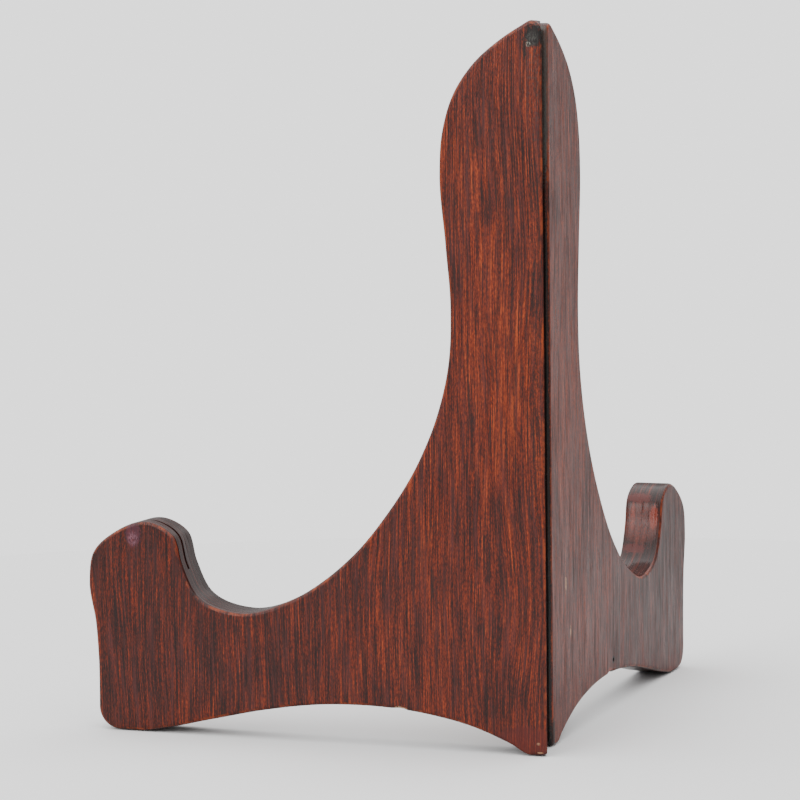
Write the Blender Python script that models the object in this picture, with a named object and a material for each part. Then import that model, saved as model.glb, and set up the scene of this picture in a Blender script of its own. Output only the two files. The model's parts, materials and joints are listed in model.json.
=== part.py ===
"""Folding display stand for a plate: two plywood boards on two small butt hinges.

Metres, +Z up. The cradles and hooks face -Y, and the spine, where the boards meet, is at the
back, +Y. Left and right are as seen from behind. The origin is at the stand's bottom centre.

Each side has its own local frame, whose origin is on the hinge pins' axis: x runs along the
board towards its hook, and y runs towards the board's inner or outer face (see to_side).
"""
import math

import bmesh
import bpy

MM = 0.001

# Boards. Profile points are (distance from the back edge, height) in millimetres.
BOARD_THICKNESS = 12.0 * MM
EDGE_ROUNDING = 1.2 * MM
LEFT_BACK_BEVEL = 5.0 * MM
TOP_CORNER = {"centre": (3.0, 197.0), "radius": 3.0}
TOE_CORNER = {"centre": (129.8, 6.5), "radius": 6.5}
HEEL_CORNER = {"centre": (2.0, 2.0), "radius": 2.0}
UPRIGHT_TO_FOOT = [
    (12.0, 195.2), (20.1, 188.6), (25.7, 180.7), (28.9, 171.0), (29.9, 159.5), (28.4, 140.0),
    (27.1, 121.0), (28.0, 106.5), (31.2, 93.4), (37.2, 79.5), (46.3, 65.4), (59.2, 51.0),
    (75.5, 40.1), (91.0, 35.8), (104.4, 40.2), (109.0, 48.8), (111.6, 57.2), (118.8, 61.0),
    (130.4, 57.7), (137.4, 51.4), (138.8, 43.0), (137.0, 31.0), (136.3, 20.0), (136.3, 6.5),
]
ARCH = [
    (123.0, 0.0), (113.5, 1.5), (100.9, 4.4), (82.2, 8.4), (66.0, 10.6), (52.0, 11.0),
    (37.0, 9.9), (22.4, 7.0), (11.0, 2.8), (5.0, 0.0),
]
POINTS_PER_SPAN = 4

# How the boards stand: the right board's square back edge butts against the left board's inner
# face, and its outer back corner lies this far along and behind the left board's outer corner.
OPEN_ANGLE = math.radians(91.5)
RIGHT_CORNER_ALONG = 2.4 * MM
RIGHT_CORNER_BEHIND = 12.4 * MM

# Hinges, 32 mm tall and 19 mm wide when laid open
HINGE_CENTRES = {"upper": 149.0 * MM, "lower": 41.5 * MM}
HINGE_HEIGHT = 32.0 * MM
LEAF_THICKNESS = 0.9 * MM
LEAF_START = 2.4 * MM
LEAF_END = 9.5 * MM
KNUCKLE_RADIUS = 2.0 * MM
KNUCKLE_COUNT = 5
KNUCKLE_GAP = 0.3 * MM
CURL_END = math.radians(-18.0)
CURL_STEPS = 18
SEAT_GAP = 0.3 * MM
PIN_RADIUS = 0.8 * MM
PIN_OVERHANG = 0.5 * MM

# Screws, two in each leaf
SCREW_OFFSET = 6.1 * MM
SCREW_SPACING = 18.0 * MM
SCREW_HEAD_RADIUS = 2.0 * MM
SCREW_SHANK_RADIUS = 1.1 * MM
SCREW_HEAD_DEPTH = 0.9 * MM
SCREW_LENGTH = 9.0 * MM
SCREW_TIP = 2.5 * MM
RECESS_ARM = 1.2 * MM
RECESS_WIDTH = 0.5 * MM
RECESS_DEPTH = 0.5 * MM
HOLE_CLEARANCE = 0.3 * MM

# The pins' axis, from the boards' inner faces and in the stand's own frame
PIN_FROM_FACE = SEAT_GAP + KNUCKLE_RADIUS
PIN_DEPTH = BOARD_THICKNESS + PIN_FROM_FACE
PIN_AXIS = (5.215 * MM, 35.947 * MM)

# Seen from above, a left board's inner side is at -y of its local x, a right board's at +y
LEFT = -1
RIGHT = 1

COLOURS = {
    "varnished plywood": {"colour": (0.19, 0.045, 0.022), "metallic": 0.0, "roughness": 0.32},
    "brass plate": {"colour": (0.62, 0.45, 0.20), "metallic": 1.0, "roughness": 0.35},
    "bright steel": {"colour": (0.58, 0.57, 0.55), "metallic": 1.0, "roughness": 0.30},
}


def pin_from_back(side):
    """How far the pins' axis lies from a board's outer back corner, along the board."""
    turn = OPEN_ANGLE - math.pi / 2
    behind = PIN_DEPTH - RIGHT_CORNER_BEHIND - PIN_DEPTH * math.sin(turn)
    from_right = behind / math.cos(turn)
    if side == RIGHT:
        return from_right
    return RIGHT_CORNER_ALONG - from_right * math.sin(turn) + PIN_DEPTH * math.cos(turn)


def to_side(side, along, depth, height):
    """A point given from a board's outer back corner, in that side's local frame."""
    return (along - pin_from_back(side), side * (depth - PIN_DEPTH), height)


def arc(corner, first, last, steps):
    """Points on a round corner, from one angle to another, in millimetres."""
    points = []
    for step in range(steps + 1):
        angle = math.radians(first + (last - first) * step / steps)
        x = corner["centre"][0] + corner["radius"] * math.cos(angle)
        y = corner["centre"][1] + corner["radius"] * math.sin(angle)
        points.append((x, y))
    return points


def smooth_curve(points, start, end, steps):
    """A curve through the points that leaves along start and arrives along end.

    Each span is a cubic whose slopes come from its neighbours, weighted by their spacing.
    """
    gaps = [math.dist(a, b) for a, b in zip(points, points[1:])]
    slopes = [start]
    for i in range(1, len(points) - 1):
        before, after = gaps[i - 1], gaps[i]
        slope = []
        for axis in (0, 1):
            rate_in = (points[i][axis] - points[i - 1][axis]) / before
            rate_out = (points[i + 1][axis] - points[i][axis]) / after
            slope.append((rate_in * after + rate_out * before) / (before + after))
        slopes.append(tuple(slope))
    slopes.append(end)
    curve = []
    for i, gap in enumerate(gaps):
        for step in range(steps):
            t = step / steps
            stay = 2 * t**3 - 3 * t**2 + 1
            leave = t**3 - 2 * t**2 + t
            arrive = t**3 - t**2
            point = []
            for axis in (0, 1):
                value = stay * points[i][axis] + (1 - stay) * points[i + 1][axis]
                value += gap * (leave * slopes[i][axis] + arrive * slopes[i + 1][axis])
                point.append(value)
            curve.append(tuple(point))
    curve.append(points[-1])
    return curve


def board_outline():
    """The closed profile of a board as (along, height) in metres, clockwise from the top."""
    top = arc(TOP_CORNER, 180, 60, 4)
    leaving_top = (math.sin(math.radians(60)), -math.cos(math.radians(60)))
    front = smooth_curve([top[-1]] + UPRIGHT_TO_FOOT, leaving_top, (0.0, -1.0), POINTS_PER_SPAN)
    toe = arc(TOE_CORNER, 0, -90, 5)
    arch = smooth_curve(ARCH, (-1.0, 0.0), (-1.0, 0.0), POINTS_PER_SPAN)
    heel = arc(HEEL_CORNER, -90, -180, 3)
    outline = top + front[1:] + toe[1:] + arch + heel
    return [(along * MM, height * MM) for along, height in outline]


def finish(name):
    """The Principled material of one of the stand's finishes."""
    material = bpy.data.materials.get(name) or bpy.data.materials.new(name)
    material.use_nodes = True
    shader = material.node_tree.nodes["Principled BSDF"]
    shader.inputs["Base Color"].default_value = (*COLOURS[name]["colour"], 1.0)
    shader.inputs["Metallic"].default_value = COLOURS[name]["metallic"]
    shader.inputs["Roughness"].default_value = COLOURS[name]["roughness"]
    return material


def place(name, mesh, parent, material=None):
    """Links a mesh into the scene as an object under its side's empty."""
    piece = bpy.data.objects.new(name, mesh)
    bpy.context.scene.collection.objects.link(piece)
    piece.parent = parent
    if material and not mesh.materials:
        mesh.materials.append(finish(material))
    return piece


def mesh_from(bm, name, smooth=False):
    """Turns a bmesh into a mesh with its faces pointing outwards."""
    bmesh.ops.recalc_face_normals(bm, faces=bm.faces)
    mesh = bpy.data.meshes.new(name)
    bm.to_mesh(mesh)
    bm.free()
    if smooth:
        mesh.shade_smooth()
        mesh.set_sharp_from_angle(angle=math.radians(35))
    return mesh


def cut(target, cutter_mesh):
    """Takes the cutter's shape out of the target and leaves the cutter as a hidden guide."""
    cutter = place("cutter." + target.name, cutter_mesh, target.parent)
    cutter.matrix_basis = target.matrix_basis
    cutter.hide_render = True
    cutter.display_type = "WIRE"
    boolean = target.modifiers.new("holes", "BOOLEAN")
    boolean.operation = "DIFFERENCE"
    boolean.solver = "EXACT"
    boolean.object = cutter


def turned(bm, profile, centre, side, segments):
    """Spins a (radius, depth) profile round the normal of a board's inner face.

    centre is (x, z) in the side's frame, and depth 0 is the leaf's outer surface.
    """
    surface = LEAF_THICKNESS - KNUCKLE_RADIUS
    rings = []
    for radius, depth in profile:
        y = side * (surface - depth)
        if radius == 0.0:
            rings.append([bm.verts.new((centre[0], y, centre[1]))])
            continue
        ring = []
        for k in range(segments):
            angle = 2 * math.pi * k / segments
            x = centre[0] + radius * math.cos(angle)
            z = centre[1] + radius * math.sin(angle)
            ring.append(bm.verts.new((x, y, z)))
        rings.append(ring)
    for upper, lower in zip(rings, rings[1:]):
        for k in range(segments):
            corners = [upper[k % len(upper)], upper[(k + 1) % len(upper)]]
            corners += [lower[(k + 1) % len(lower)], lower[k % len(lower)]]
            bm.faces.new(list(dict.fromkeys(corners)))


def screw_places(hinge):
    """The (x, z) centres of one leaf's two screws, in its side's frame."""
    middle = HINGE_CENTRES[hinge]
    half = SCREW_SPACING / 2
    return {"top": (SCREW_OFFSET, middle + half), "bottom": (SCREW_OFFSET, middle - half)}


def make_board(name, side, parent, back_bevel):
    """One board: the profile with its thickness, a planed back edge, round arrises and holes."""
    bm = bmesh.new()
    outline = [bm.verts.new(to_side(side, along, 0.0, height)) for along, height in board_outline()]
    face = bm.faces.new(outline)
    raised = bmesh.ops.extrude_face_region(bm, geom=[face])
    moved = [v for v in raised["geom"] if isinstance(v, bmesh.types.BMVert)]
    bmesh.ops.translate(bm, verts=moved, vec=(0.0, side * BOARD_THICKNESS, 0.0))
    if back_bevel:
        geom = bm.verts[:] + bm.edges[:] + bm.faces[:]
        corner = to_side(side, 0.0, 0.0, 0.0)
        across = (-BOARD_THICKNESS, side * back_bevel, 0.0)
        sliced = bmesh.ops.bisect_plane(
            bm, geom=geom, plane_co=corner, plane_no=across, dist=1e-7, clear_outer=True
        )
        rim = [e for e in sliced["geom_cut"] if isinstance(e, bmesh.types.BMEdge)]
        bmesh.ops.holes_fill(bm, edges=rim)
    board = place(name, mesh_from(bm, name), parent, "varnished plywood")
    rounding = board.modifiers.new("round arrises", "BEVEL")
    rounding.width = EDGE_ROUNDING
    rounding.segments = 2
    rounding.limit_method = "ANGLE"
    rounding.angle_limit = math.radians(40)
    holes = bmesh.new()
    radius = SCREW_SHANK_RADIUS + HOLE_CLEARANCE
    bottom = SCREW_LENGTH + HOLE_CLEARANCE
    for hinge in HINGE_CENTRES:
        for centre in screw_places(hinge).values():
            turned(holes, [(0.0, 0.0), (radius, 0.0), (radius, bottom), (0.0, bottom)], centre, side, 12)
    cut(board, mesh_from(holes, "cutter." + name))


def leaf_section(side):
    """The leaf's sheet and its curl round the pin, as pairs of (outer, inner) points."""
    inner_radius = KNUCKLE_RADIUS - LEAF_THICKNESS
    pairs = []
    for x in (LEAF_END, LEAF_START):
        pairs.append(((x, -side * KNUCKLE_RADIUS), (x, -side * inner_radius)))
    start = math.radians(270)
    for step in range(CURL_STEPS + 1):
        angle = start + (CURL_END - start) * step / CURL_STEPS
        x, y = math.cos(angle), side * math.sin(angle)
        pairs.append(((KNUCKLE_RADIUS * x, KNUCKLE_RADIUS * y), (inner_radius * x, inner_radius * y)))
    return pairs


def make_leaf(name, side, hinge, parent):
    """One hinge leaf: a flat sheet whose edge is curled into knuckles, with countersunk holes."""
    knuckle = (HINGE_HEIGHT - (KNUCKLE_COUNT - 1) * KNUCKLE_GAP) / KNUCKLE_COUNT
    base = HINGE_CENTRES[hinge] - HINGE_HEIGHT / 2
    owned = 0 if side == LEFT else 1
    levels = [base]
    curled = []
    for k in range(KNUCKLE_COUNT):
        low = base + k * (knuckle + KNUCKLE_GAP)
        if k % 2 == owned:
            if low - levels[-1] > 1e-6:
                levels.append(low)
                curled.append(False)
            levels.append(low + knuckle)
            curled.append(True)
    if base + HINGE_HEIGHT - levels[-1] > 1e-6:
        levels.append(base + HINGE_HEIGHT)
        curled.append(False)
    section = leaf_section(side)
    bm = bmesh.new()
    grid = {}

    def corner(level, pair, face):
        key = (level, pair, face)
        if key not in grid:
            x, y = section[pair][face]
            grid[key] = bm.verts.new((x, y, levels[level]))
        return grid[key]

    def quad(*keys):
        bm.faces.new([corner(*key) for key in keys])

    last = len(section) - 1
    for i, has_curl in enumerate(curled):
        pairs = last if has_curl else 1
        for p in range(pairs):
            for face in (0, 1):
                quad((i, p, face), (i, p + 1, face), (i + 1, p + 1, face), (i + 1, p, face))
        for p in (0, pairs):
            quad((i, p, 0), (i + 1, p, 0), (i + 1, p, 1), (i, p, 1))
    for level in range(len(levels)):
        below = curled[level - 1] if level > 0 else None
        above = curled[level] if level < len(curled) else None
        for p in range(last):
            solid_below = below is not None and (p == 0 or below)
            solid_above = above is not None and (p == 0 or above)
            if solid_below != solid_above:
                quad((level, p, 0), (level, p + 1, 0), (level, p + 1, 1), (level, p, 1))
    leaf = place(name, mesh_from(bm, name, smooth=True), parent, "brass plate")
    holes = bmesh.new()
    top = SCREW_HEAD_RADIUS + HOLE_CLEARANCE
    neck = SCREW_SHANK_RADIUS + HOLE_CLEARANCE
    slant = (top - neck) / SCREW_HEAD_DEPTH
    over = 0.2 * MM
    profile = [(0.0, -over), (top + slant * over, -over), (neck, SCREW_HEAD_DEPTH)]
    profile += [(neck, LEAF_THICKNESS + over), (0.0, LEAF_THICKNESS + over)]
    for centre in screw_places(hinge).values():
        turned(holes, profile, centre, side, 20)
    cut(leaf, mesh_from(holes, "cutter." + name))


def make_pin(name, hinge, parent):
    """The hinge pin, a round rod with softened ends that stands just proud of the knuckles."""
    half = HINGE_HEIGHT / 2 + PIN_OVERHANG
    soft = 0.25 * MM
    bm = bmesh.new()
    rings = [(PIN_RADIUS - soft, -half), (PIN_RADIUS, -half + soft)]
    rings += [(PIN_RADIUS, half - soft), (PIN_RADIUS - soft, half)]
    loops = []
    for radius, z in rings:
        loop = bmesh.ops.create_circle(bm, segments=20, radius=radius)["verts"]
        bmesh.ops.translate(bm, verts=loop, vec=(0.0, 0.0, z + HINGE_CENTRES[hinge]))
        loops.append(loop)
    for lower, upper in zip(loops, loops[1:]):
        for k in range(len(lower)):
            follow = (k + 1) % len(lower)
            bm.faces.new([lower[k], lower[follow], upper[follow], upper[k]])
    bm.faces.new(loops[0])
    bm.faces.new(loops[-1])
    place(name, mesh_from(bm, name, smooth=True), parent, "bright steel")


def make_screw(name, centre, side, parent):
    """A countersunk wood screw with a cross recess, standing in its leaf and board."""
    bm = bmesh.new()
    profile = [(0.0, 0.0), (SCREW_HEAD_RADIUS, 0.0), (SCREW_SHANK_RADIUS, SCREW_HEAD_DEPTH)]
    profile += [(SCREW_SHANK_RADIUS, SCREW_LENGTH - SCREW_TIP), (0.0, SCREW_LENGTH)]
    turned(bm, profile, centre, side, 16)
    screw = place(name, mesh_from(bm, name, smooth=True), parent, "brass plate")
    arm, half = RECESS_ARM, RECESS_WIDTH / 2
    cross = [(arm, -half), (arm, half), (half, half), (half, arm), (-half, arm), (-half, half)]
    cross += [(-x, -z) for x, z in cross]
    surface = LEAF_THICKNESS - KNUCKLE_RADIUS
    recess = bmesh.new()
    loops = []
    for y in (surface + RECESS_DEPTH, surface - RECESS_DEPTH):
        loops.append([recess.verts.new((centre[0] + x, side * y, centre[1] + z)) for x, z in cross])
    for k in range(len(cross)):
        follow = (k + 1) % len(cross)
        recess.faces.new([loops[0][k], loops[0][follow], loops[1][follow], loops[1][k]])
    recess.faces.new(loops[0])
    recess.faces.new(loops[1])
    cut(screw, mesh_from(recess, "cutter." + name))


def make_side(word, side):
    """The empty on the hinge axis that carries one side of the stand, turned to its board."""
    empty = bpy.data.objects.new(word + "_side", None)
    bpy.context.scene.collection.objects.link(empty)
    empty.location = (PIN_AXIS[0], PIN_AXIS[1], 0.0)
    empty.rotation_euler = (0.0, 0.0, -math.pi / 2 - side * OPEN_ANGLE / 2)
    return empty


def build():
    for old in list(bpy.data.objects):
        bpy.data.objects.remove(old)
    for word, side, bevel in (("left", LEFT, LEFT_BACK_BEVEL), ("right", RIGHT, 0.0)):
        carrier = make_side(word, side)
        make_board(word + "_board", side, carrier, bevel)
        for hinge in HINGE_CENTRES:
            leaf = f"{hinge}_hinge_{word}_leaf"
            make_leaf(leaf, side, hinge, carrier)
            for end, centre in screw_places(hinge).items():
                make_screw(f"{leaf}_{end}_screw", centre, side, carrier)
            if side == LEFT:
                make_pin(f"{hinge}_hinge_pin", hinge, carrier)


build()
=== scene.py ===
import json
import math

import bmesh
import bpy
from mathutils import Matrix, Vector, noise


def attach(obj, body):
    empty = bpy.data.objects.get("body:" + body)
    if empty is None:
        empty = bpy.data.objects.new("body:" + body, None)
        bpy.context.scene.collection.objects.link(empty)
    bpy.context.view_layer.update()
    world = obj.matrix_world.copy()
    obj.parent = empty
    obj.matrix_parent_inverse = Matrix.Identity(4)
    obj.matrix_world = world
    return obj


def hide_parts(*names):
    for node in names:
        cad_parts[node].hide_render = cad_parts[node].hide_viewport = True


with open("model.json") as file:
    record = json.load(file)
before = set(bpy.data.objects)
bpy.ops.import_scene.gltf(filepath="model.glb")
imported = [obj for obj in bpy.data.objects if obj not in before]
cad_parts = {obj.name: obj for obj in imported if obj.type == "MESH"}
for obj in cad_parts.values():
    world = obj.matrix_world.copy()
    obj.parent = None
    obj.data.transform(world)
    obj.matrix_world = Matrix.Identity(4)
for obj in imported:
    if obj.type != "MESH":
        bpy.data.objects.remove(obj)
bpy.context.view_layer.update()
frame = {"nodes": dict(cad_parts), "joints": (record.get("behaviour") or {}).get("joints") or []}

# The finished look of the folding plate stand: two stained and varnished plywood boards on two
# small brass hinges. Left and right are as seen from behind. Metres, with MM for small sizes.

MM = 0.001
LEFT = -1
RIGHT = 1
SIDES = {"left": LEFT, "right": RIGHT}

# Boards. Profile points are (distance from the back edge, height) in millimetres.
BOARD_THICKNESS = 12.0
EDGE_ROUNDING = 1.2
ROUNDING_SEGMENTS = 4
ROUNDED_FROM_DEGREES = 40
SHARP_FROM_DEGREES = 35
TOP_CORNER = {"centre": (3.0, 197.0), "radius": 3.0, "steps": 10}
TOE_CORNER = {"centre": (129.8, 6.5), "radius": 6.5, "steps": 12}
HEEL_CORNER = {"centre": (2.0, 2.0), "radius": 2.0, "steps": 8}
TOP_CORNER_ENDS_AT_DEGREES = 60
UPRIGHT_TO_FOOT = [
    (12.0, 195.2), (20.1, 188.6), (25.7, 180.7), (28.9, 171.0), (29.9, 159.5), (28.4, 140.0),
    (27.1, 121.0), (28.0, 106.5), (31.2, 93.4), (37.2, 79.5), (46.3, 65.4), (59.2, 51.0),
    (75.5, 40.1), (91.0, 35.8), (104.4, 40.2), (109.0, 48.8), (111.6, 57.2), (118.8, 61.0),
    (130.4, 57.7), (137.4, 51.4), (138.8, 43.0), (137.0, 31.0), (136.3, 20.0), (136.3, 6.5),
]
ARCH = [
    (123.0, 0.0), (113.5, 1.5), (100.9, 4.4), (82.2, 8.4), (66.0, 10.6), (52.0, 11.0),
    (37.0, 9.9), (22.4, 7.0), (11.0, 2.8), (5.0, 0.0),
]
POINTS_PER_SPAN = 12
SPINE_STEPS = 100

# The left board's back edge is planed to a bevel. The right board's top is sanded down towards its
# inner face, to follow the left board's slope.
LEFT_BACK_BEVEL = 5.0
RIGHT_TOP_SANDED_FROM = (0.0, 3.0, 200.2)
RIGHT_TOP_SLOPE = 0.65

# The glue lines of the plywood, as depths from a board's outer face. One opens into a crack, this
# far to each side, out to a lip. A point this near a line or a face counts as on it.
GLUE_LINES = (1.5, 3.9, 6.1, 8.3, 10.6)
GLUE_LINE_WIDTH = 0.16
CRACK_HALF = 0.50
CRACK_LIP = 0.57
CRACK_THINNEST = 0.35
CRACK_SHALLOWEST = 0.3
ON_GLUE_LINE = 0.01
ON_FACE = 0.001

# How deep the edges and the glue lines are worn, and how wide the ups and downs of the wear are
EDGE_WEAR = 0.14
EDGE_WEAR_LUMPS = 9.0
GLUE_GAP_WEAR = 0.14
GLUE_GAP_LUMPS = 6.0

# Chips are ragged: the share of a chip's depth that is sure, how much varies, and how often
CHIP_SURE = 0.75
CHIP_RAGGED = 0.5
CHIP_LUMPS_PER_MM = 1.9
NAIL_HOLE_SIDES = 20

# How far the hinge pins' axis lies from the boards' inner faces, and where the right board's outer
# back corner meets the left board: along it, and deep from its outer face
FOLD = next(joint for joint in frame["joints"] if joint["name"] == "fold")
FOLD_AXIS = Vector((FOLD["pos_m"][0], FOLD["pos_m"][1], 0.0))
OPEN_ANGLE = math.radians(FOLD["range_deg"][1])
PIN_FROM_FACE = 2.3
PIN_DEPTH = BOARD_THICKNESS + PIN_FROM_FACE
RIGHT_CORNER_ALONG = 2.4
RIGHT_CORNER_DEPTH = 12.4


def pin_from_back(side):
    """How far the pins' axis lies from a board's outer back corner, along the board."""
    turn = OPEN_ANGLE - math.pi / 2
    past_corner = PIN_DEPTH - RIGHT_CORNER_DEPTH - PIN_DEPTH * math.sin(turn)
    from_right = past_corner / math.cos(turn)
    if side == RIGHT:
        return from_right
    return RIGHT_CORNER_ALONG - from_right * math.sin(turn) + PIN_DEPTH * math.cos(turn)


def side_angle(side):
    """The direction in which a board runs from the hinge to its hook, seen from above."""
    return -math.pi / 2 - side * OPEN_ANGLE / 2


def board_to_stand(side):
    """Takes (along, depth, height) in millimetres on a board to metres in the stand's frame."""
    shift = Matrix.Translation((-pin_from_back(side), -PIN_DEPTH, 0.0))
    flip = Matrix.Diagonal((MM, side * MM, MM, 1.0))
    turn = Matrix.Rotation(side_angle(side), 4, "Z")
    return Matrix.Translation(FOLD_AXIS) @ turn @ flip @ shift


# ---------------------------------------------------------------- profile of the boards

def arc(corner, first, last):
    """Points on a round corner, from one angle to another, in degrees."""
    points = []
    for step in range(corner["steps"] + 1):
        angle = math.radians(first + (last - first) * step / corner["steps"])
        x = corner["centre"][0] + corner["radius"] * math.cos(angle)
        y = corner["centre"][1] + corner["radius"] * math.sin(angle)
        points.append((x, y))
    return points


def smooth_curve(points, start, end, steps):
    """A curve through the points that leaves along start and arrives along end."""
    gaps = [math.dist(a, b) for a, b in zip(points, points[1:])]
    slopes = [Vector(start)]
    for i in range(1, len(points) - 1):
        before, after = gaps[i - 1], gaps[i]
        rate_in = (Vector(points[i]) - Vector(points[i - 1])) / before
        rate_out = (Vector(points[i + 1]) - Vector(points[i])) / after
        slopes.append((rate_in * after + rate_out * before) / (before + after))
    slopes.append(Vector(end))
    curve = []
    for i, gap in enumerate(gaps):
        for step in range(steps):
            t = step / steps
            stay = 2 * t**3 - 3 * t**2 + 1
            leave = t**3 - 2 * t**2 + t
            arrive = t**3 - t**2
            point = stay * Vector(points[i]) + (1 - stay) * Vector(points[i + 1])
            point += gap * (leave * slopes[i] + arrive * slopes[i + 1])
            curve.append(tuple(point))
    curve.append(points[-1])
    return curve


def board_outline():
    """The closed profile of a board as (along, height) in millimetres, clockwise from the top."""
    top = arc(TOP_CORNER, 180, TOP_CORNER_ENDS_AT_DEGREES)
    end_of_top = math.radians(TOP_CORNER_ENDS_AT_DEGREES)
    leaving_top = (math.sin(end_of_top), -math.cos(end_of_top))
    front = smooth_curve([top[-1]] + UPRIGHT_TO_FOOT, leaving_top, (0.0, -1.0), POINTS_PER_SPAN)
    toe = arc(TOE_CORNER, 0, -90)
    arch = smooth_curve(ARCH, (-1.0, 0.0), (-1.0, 0.0), POINTS_PER_SPAN)
    heel = arc(HEEL_CORNER, -90, -180)
    low = HEEL_CORNER["centre"][1]
    tall = TOP_CORNER["centre"][1] - low
    spine = [(0.0, low + tall * step / SPINE_STEPS) for step in range(1, SPINE_STEPS)]
    return top + front[1:] + toe[1:] + arch + heel[1:] + spine


# ---------------------------------------------------------------- making meshes

def link_piece(name, mesh):
    piece = bpy.data.objects.new(name, mesh)
    bpy.context.scene.collection.objects.link(piece)
    return piece


def applied(piece):
    """Replaces a piece's mesh with the result of its modifiers, and removes them."""
    depsgraph = bpy.context.evaluated_depsgraph_get()
    mesh = bpy.data.meshes.new_from_object(piece.evaluated_get(depsgraph))
    piece.modifiers.clear()
    piece.data = mesh
    return piece


def smooth_round_flats(piece):
    """Shades a board smooth, but keeps its flat faces flat and its creases sharp."""
    piece.data.shade_smooth()
    piece.data.set_sharp_from_angle(angle=math.radians(SHARP_FROM_DEGREES))
    weighting = piece.modifiers.new("flat faces", "WEIGHTED_NORMAL")
    weighting.weight = 100
    weighting.keep_sharp = True
    applied(piece)


def dent(point, spot):
    """How deep a chip's hollow is at a point, from its centre, size and depth."""
    distance = (point - Vector(spot["at"])).length / spot["size"]
    if distance >= 1.0:
        return 0.0
    ragged = CHIP_SURE + CHIP_RAGGED * noise.noise(point * CHIP_LUMPS_PER_MM)
    return spot["depth"] * (1 - distance**2) * ragged


def slice_off(bm, at, outward):
    """Cuts away what lies outside a plane, and closes the board there."""
    geom = bm.verts[:] + bm.edges[:] + bm.faces[:]
    sliced = bmesh.ops.bisect_plane(
        bm, geom=geom, plane_co=at, plane_no=outward, dist=1e-4, clear_outer=True
    )
    rim = [e for e in sliced["geom_cut"] if isinstance(e, bmesh.types.BMEdge)]
    bmesh.ops.holes_fill(bm, edges=rim)
    bmesh.ops.recalc_face_normals(bm, faces=bm.faces)


def cut_at_depth(bm, depth):
    """Adds a loop of edges all round the board at one depth."""
    geom = bm.verts[:] + bm.edges[:] + bm.faces[:]
    plane = (0.0, depth, 0.0)
    bmesh.ops.bisect_plane(bm, geom=geom, plane_co=plane, plane_no=(0.0, 1.0, 0.0), dist=1e-5)


def open_ply(bm, crack):
    """Opens a glue line into a crack that starts thin over the hook and ends wide inside it."""
    for vert in bm.verts:
        from_line = vert.co.y - crack["glue_line"]
        if vert.co.x < crack["along_from"] or vert.co.z < crack["height_from"]:
            continue
        if abs(from_line) > CRACK_LIP + ON_GLUE_LINE or abs(vert.normal.y) > 0.5:
            continue
        wide = min(1.0, max(0.0, (crack["along_to"] - vert.co.x) / crack["taper"]))
        opening = CRACK_THINNEST + (1 - CRACK_THINNEST) * wide
        vert.co.y = crack["glue_line"] + from_line * opening
        if abs(from_line) < CRACK_LIP - ON_GLUE_LINE:
            hollow = CRACK_SHALLOWEST + (1 - CRACK_SHALLOWEST) * wide
            vert.co -= vert.normal * crack["depth"] * hollow * min(1.0, 3.0 * wide)


def drill(piece, hole):
    """Cuts a small tapered nail hole into a board's outer face."""
    bm = bmesh.new()
    bmesh.ops.create_cone(
        bm, cap_ends=True, segments=NAIL_HOLE_SIDES, radius1=hole["radius"],
        radius2=hole["end_radius"], depth=2 * hole["deep"],
    )
    bmesh.ops.rotate(bm, verts=bm.verts, matrix=Matrix.Rotation(math.radians(-90), 3, "X"))
    bmesh.ops.translate(bm, verts=bm.verts, vec=hole["at"])
    mesh = bpy.data.meshes.new("nail")
    bm.to_mesh(mesh)
    bm.free()
    nail = link_piece("nail", mesh)
    cutting = piece.modifiers.new("nail hole", "BOOLEAN")
    cutting.operation = "DIFFERENCE"
    cutting.object = nail
    applied(piece)
    bpy.data.objects.remove(nail)


def board_blank():
    """A board as it is first shaped: profile, thickness and round arrises, in its own millimetres."""
    bm = bmesh.new()
    face = bm.faces.new([bm.verts.new((along, 0.0, height)) for along, height in board_outline()])
    raised = bmesh.ops.extrude_face_region(bm, geom=[face])
    moved = [v for v in raised["geom"] if isinstance(v, bmesh.types.BMVert)]
    bmesh.ops.translate(bm, verts=moved, vec=(0.0, BOARD_THICKNESS, 0.0))
    bmesh.ops.recalc_face_normals(bm, faces=bm.faces)
    mesh = bpy.data.meshes.new("board")
    bm.to_mesh(mesh)
    bm.free()
    piece = link_piece("board", mesh)
    rounding = piece.modifiers.new("round arrises", "BEVEL")
    rounding.width = EDGE_ROUNDING
    rounding.segments = ROUNDING_SEGMENTS
    rounding.limit_method = "ANGLE"
    rounding.angle_limit = math.radians(ROUNDED_FROM_DEGREES)
    rounding.use_clamp_overlap = False
    return applied(piece)


def cut_glue_lines(bm, crack):
    """Adds the edge loops that the glue lines and the crack need."""
    for line in GLUE_LINES:
        offsets = (-GLUE_LINE_WIDTH, 0.0, GLUE_LINE_WIDTH)
        if crack and line == crack["glue_line"]:
            offsets = (-CRACK_LIP, -CRACK_HALF, 0.0, CRACK_HALF, CRACK_LIP)
        for offset in offsets:
            cut_at_depth(bm, line + offset)
    bm.normal_update()


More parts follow.
